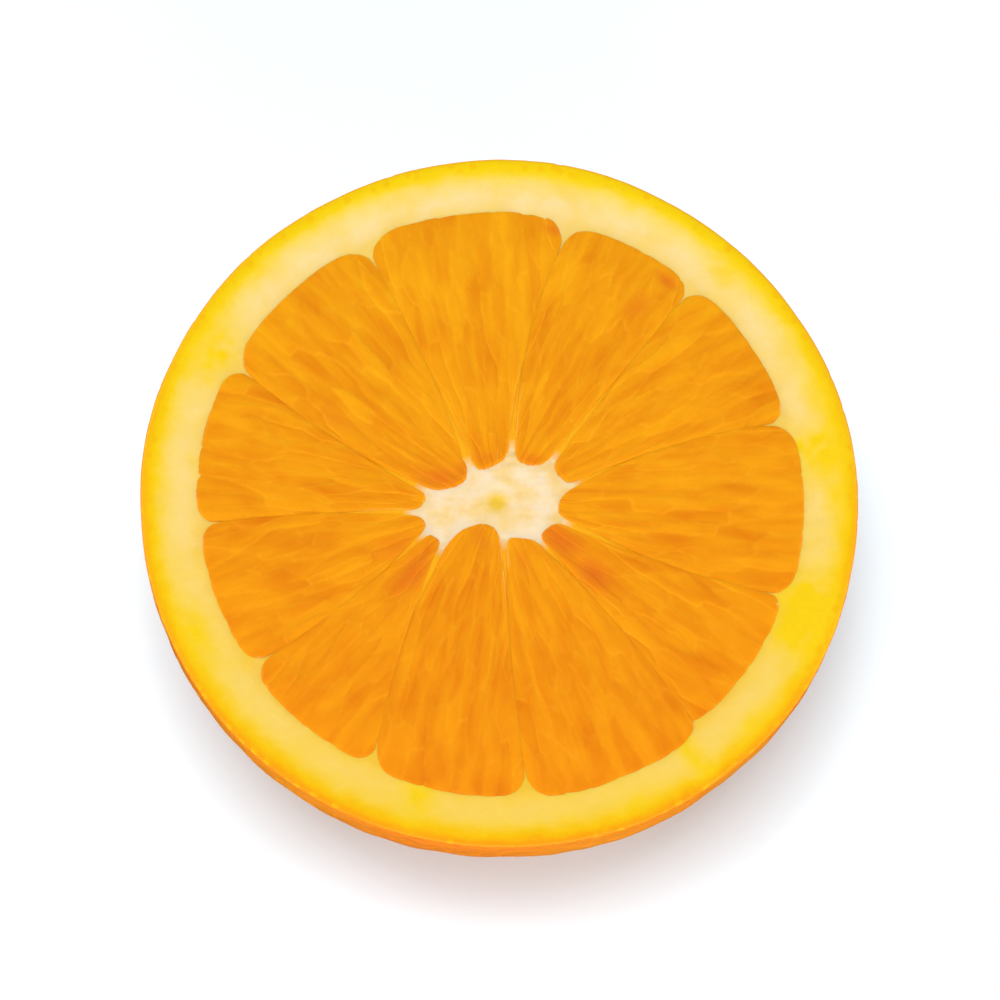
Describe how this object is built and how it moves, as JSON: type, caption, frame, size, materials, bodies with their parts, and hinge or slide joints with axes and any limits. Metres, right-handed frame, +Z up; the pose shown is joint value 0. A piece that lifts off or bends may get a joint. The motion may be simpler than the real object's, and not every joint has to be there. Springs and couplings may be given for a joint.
{
  "type": "orange half",
  "caption": "Half of a sweet orange, cut across its segments, lying on its rind with the juicy cut face up.",
  "frame": {"origin": "on the small flat spot that the fruit rests on, under the middle of the fruit", "axes": "+Z up out of the cut face, +X to the right of the cut face and +Y to its top, both seen from above"},
  "size_m": [0.0762, 0.0758, 0.0372],
  "materials": {
    "peel_and_pulp": "wet translucent pulp in a pale spongy pith, under a thin waxed rind"
  },
  "bodies": {
    "root": {"orange_half": "peel_and_pulp"}
  },
  "joints": []
}
